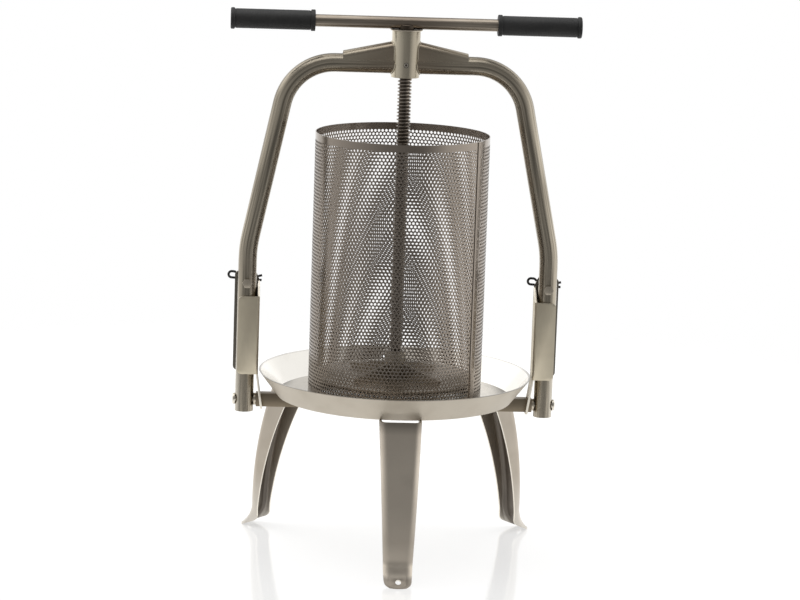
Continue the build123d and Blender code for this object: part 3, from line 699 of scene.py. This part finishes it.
steels = {
    "frame_steel": dict(colour=(0.385, 0.343, 0.272), roughness=0.28, **brushed, grain_depth=0.004,
                        heat=gusset_heat),
    "tube_look": dict(colour=(0.375, 0.333, 0.265), roughness=0.27, **brushed, grain_depth=0.004,
                      stains=(tube_heat, tube_foot_painted_highlight), streaks=tube_streaks, places="arch_place"),
    # Cut edges, rounded bracket edges and foot bolts: a brighter steel, part wear and part painted
    # highlight
    "bright_wear_and_highlight": dict(colour=(0.76, 0.71, 0.62), roughness=0.34, **brushed),
    "pan_steel": dict(colour=(0.53, 0.482, 0.408), roughness=0.52, rings=True, grain_scale=1600.0,
                      grain_depth=0.008, sheen_and_polish=pan_sheen_and_polish, stains=(rim_shade_line,)),
    # The front leg: a lighter copy of the legs' steel, painted light, with painted shade in bands and
    # inside
    "front_leg_painted_light": dict(colour=(0.58, 0.52, 0.44), roughness=0.44, **brushed, bands=front_leg_painted_shade,
                           inside=leg_inside_shade),
    "leg_steel": dict(colour=(0.475, 0.423, 0.356), roughness=0.42, **brushed,
                      stains=(side_foot_painted_highlight,), inside=leg_inside_shade),
    "bar_steel": dict(colour=(0.225, 0.185, 0.133), roughness=0.42, grain_stretch=along_x,
                      grain_scale=1100.0),
    "basket_steel": dict(colour=(0.29, 0.25, 0.211), roughness=0.23, grain_stretch=along_z,
                         grain_scale=1100.0, grain_depth=0.006),
    "plate_steel": dict(colour=(0.38, 0.335, 0.27), roughness=0.32, rings=True, grain_scale=1800.0),
    "handle_steel": dict(colour=(0.335, 0.29, 0.238), roughness=0.36, grain_stretch=along_x,
                         grain_scale=1800.0, heat=bar_heat, streaks=bar_streaks),
    "fastener_steel": dict(colour=(0.56, 0.50, 0.41), roughness=0.32, grain_scale=1500.0),
    # The hub and its welds: a lighter copy of the frame's steel, painted light
    "hub_painted_light": dict(colour=(0.62, 0.56, 0.44), roughness=0.24, **brushed, grain_depth=0.006,
                     stains=(hub_side_painted_shade,)),
    # The brackets: a lighter copy of the frame's steel, painted light, with painted shade in their
    # channels
    "bracket_painted_light": dict(colour=(0.70, 0.63, 0.49), roughness=0.46, **brushed,
                         stains=(channel_shade,)),
}
materials = {name: steel(name, **settings) for name, settings in steels.items()}
for name, make in (("screw_steel", screw_look), ("nut_bronze", bronze), ("grip_rubber", rubber),
                   ("clip_black", black_paint), ("set_screw_look", socket_screw)):
    materials[name] = make(name)

for subpart in frame["record"]["subparts"]:
    node_mesh = frame["nodes"][subpart["node"]].data
    node_mesh.materials.clear()
    node_mesh.materials.append(materials[subpart["material_slot"]])


# Basket: the sheet is divided into six-sided cells, each with one round hole.
# Cell corners are named by whole numbers, four to a column's pitch and six to a row's step.

cell_turn = 4 * hole_columns
cell_ring = [(2, 0), (2, 2), (1, 3), (0, 4), (-1, 3), (-2, 2),
             (-2, 0), (-2, -2), (-1, -3), (0, -4), (1, -3), (2, -2)]
hole_corners = len(cell_ring)

# Corners on the outer edge of the first and the last row of cells, by their place in the pitch
lower_edge = (-4, -3, -2, -3)
upper_edge = (4, 3, 2, 3)


def perforated_basket():
    points, faces = [], []
    named = {}

    def on_skin(skin, turn, height):
        radius = basket_radius - skin * basket_sheet
        return radius * math.cos(turn), radius * math.sin(turn), height

    def skin_point(skin, across, up):
        key = (skin, across % cell_turn, up)
        if key not in named:
            named[key] = len(points)
            height = basket_bottom + hole_first_row + up * hole_row_step / 6
            points.append(on_skin(skin, across * 2 * math.pi / cell_turn, height))
        return named[key]

    def add_face(skin, corners):
        faces.append(corners if skin == 0 else corners[::-1])

    hole_radius = hole_diameter / 2
    seam_half = (seam_width / 2 + hole_radius) / basket_radius
    for row in range(hole_rows):
        for column in range(hole_columns):
            across, up = 4 * column + 2 * (row % 2), 6 * row
            turn = across * 2 * math.pi / cell_turn
            height = basket_bottom + hole_first_row + row * hole_row_step
            from_seam = (turn - math.radians(seam_angle) + math.pi) % (2 * math.pi) - math.pi
            plain = abs(from_seam) < seam_half
            holes = []
            for skin in (0, 1):
                ring = [skin_point(skin, across + du, up + dv) for du, dv in cell_ring]
                if plain:
                    add_face(skin, ring)
                    continue
                hole = []
                for step in range(hole_corners):
                    slope = 2 * math.pi * step / hole_corners
                    hole.append(len(points))
                    points.append(on_skin(skin, turn + hole_radius * math.cos(slope) / basket_radius,
                                          height + hole_radius * math.sin(slope)))
                for step in range(hole_corners):
                    after = (step + 1) % hole_corners
                    add_face(skin, [hole[step], ring[step], ring[after], hole[after]])
                holes.append(hole)
            if holes:
                front, back = holes
                for step in range(hole_corners):
                    after = (step + 1) % hole_corners
                    faces.append([front[step], front[after], back[after], back[step]])

    # Plain bands at the bottom and the top, from the outermost cells to the sheet's edges.
    last_row = hole_rows - 1
    shifted = 2 * (last_row % 2)
    edges = {}
    for skin in (0, 1):
        for height in (basket_bottom, basket_top):
            edges[skin, height] = list(range(len(points), len(points) + cell_turn))
            points += [on_skin(skin, across * 2 * math.pi / cell_turn, height)
                       for across in range(cell_turn)]
        bottom, top = edges[skin, basket_bottom], edges[skin, basket_top]
        for across in range(cell_turn):
            after = (across + 1) % cell_turn
            low = [skin_point(skin, step, lower_edge[step % 4]) for step in (across, across + 1)]
            high = [skin_point(skin, step, 6 * last_row + upper_edge[(step - shifted) % 4])
                    for step in (across, across + 1)]
            add_face(skin, [bottom[across], bottom[after], low[1], low[0]])
            add_face(skin, [high[0], high[1], top[after], top[across]])
    for across in range(cell_turn):
        after = (across + 1) % cell_turn
        outer, inner = edges[0, basket_top], edges[1, basket_top]
        faces.append([outer[across], outer[after], inner[after], inner[across]])
        outer, inner = edges[0, basket_bottom], edges[1, basket_bottom]
        faces.append([outer[after], outer[across], inner[across], inner[after]])
    return points, faces


add_piece("basket_sheet", *perforated_basket(), "basket", "basket_steel", ["basket_wall"], sharp=40.0)


# Lap strip with a row of spot-weld dimples

def seam_strip():
    points, faces = [], []
    for row in range(seam_rows + 1):
        height = basket_bottom + (basket_top - basket_bottom) * row / seam_rows
        from_weld = (height - basket_bottom) % seam_weld_step - seam_weld_step / 2
        for column in range(seam_columns + 1):
            share = 2 * column / seam_columns - 1
            turn = math.radians(seam_angle) + seam_width / 2 / basket_radius * share
            from_middle = math.hypot(share * seam_width / 2, from_weld)
            dimple = seam_weld_depth * max(0.0, 1 - (from_middle / seam_weld_radius) ** 2)
            past = max(0.0, (abs(share) - seam_round_from) / (1 - seam_round_from))
            radius = basket_radius + seam_thickness - dimple - seam_round_depth * past ** 2
            points.append((radius * math.cos(turn), radius * math.sin(turn), height))
    width = seam_columns + 1
    for row in range(seam_rows):
        for column in range(seam_columns):
            corner = row * width + column
            faces.append([corner, corner + 1, corner + width + 1, corner + width])
    border = (list(range(width))
              + [row * width + seam_columns for row in range(1, seam_rows + 1)]
              + [seam_rows * width + column for column in range(seam_columns - 1, -1, -1)]
              + [row * width for row in range(seam_rows - 1, 0, -1)])
    foot = {}
    for corner in border:
        x, y, z = points[corner]
        shrink = basket_radius / math.hypot(x, y)
        foot[corner] = len(points)
        points.append((x * shrink, y * shrink, z))
    for corner, after in zip(border, border[1:] + border[:1]):
        faces.append([foot[corner], foot[after], after, corner])
    return points, faces


add_piece("seam_strip", *seam_strip(), "basket", "basket_steel", ["basket_seam"], sharp=40.0)


# Screw with a real right-hand thread

def thread():
    points, faces, rows = [], [], []
    profile = ((0.0, 0.0), (thread_flank, 1.0), (thread_flank + thread_crest, 1.0),
               (2 * thread_flank + thread_crest, 0.0))
    last = len(profile) - 1
    steps = thread_turns * thread_steps
    for step in range(steps + 1):
        turn = 2 * math.pi * step / thread_steps
        fade = min(1.0, step / thread_steps, (steps - step) / thread_steps)
        row = []
        for rise, height in profile:
            radius = screw_root + (screw_peak - screw_root) * height * fade
            row.append(len(points))
            points.append((radius * math.cos(turn), radius * math.sin(turn),
                           thread_bottom + screw_pitch * step / thread_steps + rise))
        rows.append(row)
    for step in range(steps):
        here, after = rows[step], rows[step + 1]
        for low in range(last):
            faces.append([here[low], after[low], after[low + 1], here[low + 1]])
        if step + thread_steps < steps:
            above, above_after = rows[step + thread_steps], rows[step + thread_steps + 1]
            faces.append([here[last], after[last], above_after[0], above[0]])
    return points, faces


thread_end = thread_bottom + screw_pitch * (thread_turns - 1)
journal_outline = [
    (0, journal_bottom),
    (journal_radius - journal_chamfer, journal_bottom),
    (journal_radius, journal_bottom + journal_chamfer),
    (journal_radius, groove_low),
    (groove_radius, groove_low),
    (groove_radius, groove_high),
    (journal_radius, groove_high),
    (journal_radius, thread_bottom - journal_chamfer),
    (screw_root, thread_bottom),
    (screw_root, thread_bottom + screw_pitch + thread_overlap),
]
head_outline = [
    (screw_root, thread_end - thread_overlap),
    (screw_root, shank_top - shank_taper_low),
    (screw_peak, shank_top - shank_taper_high),
    (screw_peak, shank_top),
    (neck_radius - neck_low_chamfer, shank_top),
    (neck_radius, shank_top + neck_low_chamfer),
    (neck_radius, neck_top - neck_top_chamfer),
    (neck_radius - neck_top_chamfer, neck_top),
    (0, neck_top),
]
whole_screw = join(thread(), lathe(journal_outline, screw_steps, upright),
                   lathe(head_outline, screw_steps, upright))
add_piece("screw_thread", *whole_screw, "screw", "screw_steel", ["press_screw"], sharp=32.0)


# Grips: rounded flanges, a groove beside each flange and fine ribs along the body

def rounded(radius, start, end, corner):
    """The outside of a flange with both corners rounded."""
    arc = [math.pi / 2 * part / grip_corner_parts for part in range(grip_corner_parts + 1)]
    return ([(radius - corner * (1 - math.sin(a)), start + corner * (1 - math.cos(a))) for a in arc]
            + [(radius - corner * (1 - math.cos(a)), end - corner * (1 - math.sin(a))) for a in arc])


def grip_outline():
    body_start = grip_start + grip_flange_width + grip_groove_width
    body_end = grip_end - grip_flange_width - grip_groove_width
    groove_bottom = grip_radius - grip_groove_depth
    rim_radius = grip_flange_radius - grip_rim_width
    dish_bottom = grip_end - grip_dish_depth
    outline = [(handle_radius, grip_start + grip_mouth), (handle_radius + grip_mouth, grip_start)]
    outline += rounded(grip_flange_radius, grip_start, grip_start + grip_flange_width,
                       grip_inner_corner)
    outline += [(groove_bottom, body_start - grip_groove_width), (groove_bottom, body_start)]
    parts = grip_rib_parts * round((body_end - body_start) / grip_rib_step)
    for part in range(parts + 1):
        wave = math.cos(2 * math.pi * part / grip_rib_parts)
        outline.append((grip_radius - grip_rib_depth * (1 - wave) / 2,
                        body_start + (body_end - body_start) * part / parts))
    outline += [(groove_bottom, body_end), (groove_bottom, body_end + grip_groove_width)]
    outline += rounded(grip_flange_radius, grip_end - grip_flange_width, grip_end, grip_outer_corner)
    outline += [(rim_radius, grip_end), (rim_radius - grip_dish_slope, dish_bottom),
                (0, dish_bottom)]
    return outline


for side_name, side in (("left", -1), ("right", 1)):
    def along_handle(first, second, along, side=side):
        return side * along, side * first, handle_height + second

    add_piece(f"{side_name}_grip_sleeve", *lathe(grip_outline(), grip_steps, along_handle),
              "screw", "grip_rubber", [f"{side_name}_grip"], sharp=50.0)


# Softened copies of the sheet, bar and turned pieces

softened("nut_hub", width=0.8, slot="frame_steel", look="hub_painted_light")
softened("thrust_washer", width=0.5, slot="fastener_steel")
softened("cross_bar", width=1.2, slot="bar_steel")
softened("nut_set_screw", width=0.25, slot="fastener_steel", look="set_screw_look")
for side_name in ("left", "right"):
    softened(f"{side_name}_gusset", width=0.3, slot="frame_steel", sheet=1.5)
    softened(f"{side_name}_bracket", width=1.0, slot="frame_steel", look="bracket_painted_light", sheet=2.5,
             worn=True)
    softened(f"{side_name}_lock_pin", width=1.0, slot="fastener_steel", segments=3)
    softened(f"{side_name}_foot_bolt", width=0.4, slot="fastener_steel", look="bright_wear_and_highlight")
    softened(f"{side_name}_spacer", width=0.3, slot="fastener_steel")
for leg, leg_look in (("front", "front_leg_painted_light"), ("back_left", "leg_steel"),
                      ("back_right", "leg_steel")):
    softened(f"{leg}_leg", width=0.7, slot="leg_steel", segments=3, look=leg_look, sheet=2.5)
softened("plate_boss", width=0.6, slot="plate_steel", body="plate")


# Tubes: copies that know each point's place on the straightened arch, for marks that run along it

def arch_pieces():
    """The runs and arcs of the arch's middle line.

    Each is (kind, start, direction of a run or centre of an arc, turn, length).
    """
    corners = [Vector(corner) for corner in arch_corners]
    runs, start = [], corners[0]
    for before, corner, after, radius in zip(corners, corners[1:], corners[2:], arch_radii):
        into, out = (corner - before).normalized(), (after - corner).normalized()
        turn = into.angle_signed(out)
        setback = radius * math.tan(abs(turn) / 2)
        arc_start = corner - into * setback
        runs.append(("run", start, into, 0.0, (arc_start - start).length))
        side = Vector((into.y, -into.x)) * math.copysign(1.0, turn)
        runs.append(("arc", arc_start, arc_start + side * radius, turn, radius * abs(turn)))
        start = corner + out * setback
    rest = corners[-1] - start
    runs.append(("run", start, rest.normalized(), 0.0, rest.length))
    return runs


def arch_place(x, z, runs):
    """Distance off the arch's middle line and along it."""
    here, travelled, best = Vector((x, z)), 0.0, None
    for kind, start, guide, turn, length in runs:
        if kind == "run":
            along = min(max((here - start).dot(guide), 0.0), length)
            off = (here - start).dot(Vector((-guide.y, guide.x)))
            gap = (here - start - guide * along).length
        else:
            sense = math.copysign(1.0, turn)
            radius = (start - guide).length
            swept = (start - guide).angle_signed(here - guide) * sense
            along = min(max(swept, 0.0), abs(turn)) * radius
            off = (radius - (here - guide).length) * -sense
            gap = abs(off) if 0.0 <= swept <= abs(turn) else math.inf
        if best is None or gap < best[0]:
            best = (gap, off, travelled + along)
        travelled += length
    return best[1], best[2]


arch_runs = arch_pieces()
for side_name in ("left", "right"):
    node = f"{side_name}_frame_tube"
    tube = frame["nodes"][node].data.copy()
    tube.materials.clear()
    places = tube.attributes.new("arch_place", "FLOAT_VECTOR", "POINT")
    for vertex, place in zip(tube.vertices, places.data):
        x, y, z = vertex.co / MM
        off, along = arch_place(abs(x), z, arch_runs)
        place.vector = (off * MM, y * MM, along * MM)
    finish_piece(node + "_marked", tube, "stand", "frame_steel", [node], smooth_angle, "tube_look")


# Weld beads round the tubes and up the gussets, where they meet the hub

def on_hub(side, y, z):
    """The point of the hub's skin at a depth and height."""
    return side * math.sqrt(hub_radius ** 2 - y ** 2), y, z


def tube_weld(side):
    path = []
    for part in range(tube_weld_parts + 1):
        turn = math.radians(tube_weld_start + tube_weld_sweep * part / tube_weld_parts)
        path.append(on_hub(side, tube_radius * math.cos(turn),
                           arch_height + tube_radius * math.sin(turn)))
    return bead(path, tube_weld_radius)


def gusset_weld(side):
    low, fold = arch_height + gusset_weld_rise, gusset_top_at_hub - gusset_fold_radius
    over = [(gusset_half_width, low + (fold - low) * part / gusset_weld_parts)
            for part in range(gusset_weld_parts)]
    for part in range(gusset_weld_parts + 1):
        turn = math.pi / 2 * part / gusset_weld_parts
        over.append((gusset_half_width - gusset_fold_radius * (1 - math.cos(turn)),
                     fold + gusset_fold_radius * math.sin(turn)))
    over += [(-y, z) for y, z in reversed(over)]
    return bead([on_hub(side, y, z) for y, z in over], gusset_weld_radius)


for side_name, side in (("left", -1), ("right", 1)):
    add_piece(f"{side_name}_hub_weld", *join(tube_weld(side), gusset_weld(side)),
              "stand", "frame_steel", [], sharp=60.0, look="hub_painted_light")


# Studio: a pale floor, a bright backdrop and sides, and a darker room behind the camera

def studio_floor():
    """A pale, slightly glossy disc that fades into the white round it."""
    outline = [(floor_radius * ring / floor_rings, 0.0) for ring in range(floor_rings + 1)]
    points, faces = lathe(outline, floor_steps, upright)
    mesh = bpy.data.meshes.new("floor")
    mesh.from_pydata(points, [], [face[::-1] for face in faces])
    floor = bpy.data.objects.new("floor", mesh)
    floor.location = (0.0, floor_middle, 0.0)
    bpy.context.scene.collection.objects.link(floor)
    look = Look("floor")
    look.put(floor_colour, look.shader.inputs["Base Color"])
    look.put(floor_roughness, look.shader.inputs["Roughness"])
    look.put(floor_ior, look.shader.inputs["IOR"])
    path = look.add("ShaderNodeLightPath").outputs
    seen = look.math("MULTIPLY", path["Is Camera Ray"], floor_glow)
    mirrored = look.math("MAXIMUM", path["Is Glossy Ray"], path["Is Transmission Ray"])
    in_metal = look.math("MULTIPLY", mirrored, floor_glow_in_metal)
    glow = look.add("ShaderNodeEmission")
    look.link(look.math("MAXIMUM", seen, in_metal), glow.inputs["Strength"])
    both = look.add("ShaderNodeAddShader")
    look.link(look.shader.outputs["BSDF"], both.inputs[0])
    look.link(glow.outputs["Emission"], both.inputs[1])
    fading = look.add("ShaderNodeMixShader")
    look.link(look.spread(look.radius(), 0.0, 1.0, floor_fade_start, floor_radius),
              fading.inputs["Fac"])
    look.link(both.outputs["Shader"], fading.inputs[1])
    look.link(look.add("ShaderNodeBsdfTransparent").outputs["BSDF"], fading.inputs[2])
    look.link(fading.outputs["Shader"], look.tree.nodes["Material Output"].inputs["Surface"])
    mesh.materials.append(look.material)


def studio_world():
    """White to the camera; to the press a room with soft boxes at the left and right behind it."""
    world = bpy.data.worlds.new("studio")
    bpy.context.scene.world = world
    world.use_nodes = True
    nodes = Nodes(world.node_tree)
    direction = nodes.split(nodes.add("ShaderNodeTexCoord").outputs["Generated"])
    turn = nodes.math("ARCTAN2", direction["X"], nodes.math("MULTIPLY", direction["Y"], -1.0))
    around = nodes.math("ADD", nodes.math("DIVIDE", turn, 2 * math.pi), 0.5)

    def room(levels):
        brightest = max(level for position, level in levels)
        stops = [(position, (level / brightest,) * 3) for position, level in levels]
        return nodes.math("MULTIPLY", nodes.ramp(around, stops), brightest)

    def above(slopes):
        return nodes.spread(direction["Z"], 0.0, 1.0, *slopes, curve="SMOOTHSTEP")

    lit = nodes.mix(above(upper_slopes), room(horizon_levels), room(upper_levels))
    lit = nodes.mix(above(ceiling_slopes), lit, (ceiling_level,) * 3)
    camera_ray = nodes.add("ShaderNodeLightPath").outputs["Is Camera Ray"]
    background = world.node_tree.nodes["Background"]
    nodes.link(nodes.mix(camera_ray, lit, (1.0, 1.0, 1.0)), background.inputs["Color"])


def aimed(place, aim):
    """The turn that points a lamp or camera from a place to an aim."""
    return (Vector(aim) - Vector(place)).to_track_quat("-Z", "Y")


def studio_lamp():
    lamp = bpy.data.lights.new("overhead", "AREA")
    lamp.shape = "DISK"
    lamp.size = lamp_size
    lamp.energy = lamp_power
    light = bpy.data.objects.new("overhead", lamp)
    light.location = lamp_place
    light.rotation_euler = aimed(lamp_place, lamp_aim).to_euler()
    bpy.context.scene.collection.objects.link(light)


def photo_camera():
    lens = bpy.data.cameras.new("camera")
    lens.sensor_width = camera_sensor
    lens.lens = camera_lens
    lens.clip_start = 0.05
    lens.clip_end = 50.0
    camera = bpy.data.objects.new("camera", lens)
    camera.location = camera_place
    roll = Euler((0.0, 0.0, camera_roll)).to_quaternion()
    camera.rotation_euler = (aimed(camera_place, camera_aim) @ roll).to_euler()
    bpy.context.scene.collection.objects.link(camera)
    bpy.context.scene.camera = camera


studio_floor()
studio_world()
studio_lamp()
photo_camera()
bpy.context.scene.view_settings.view_transform = "Standard"
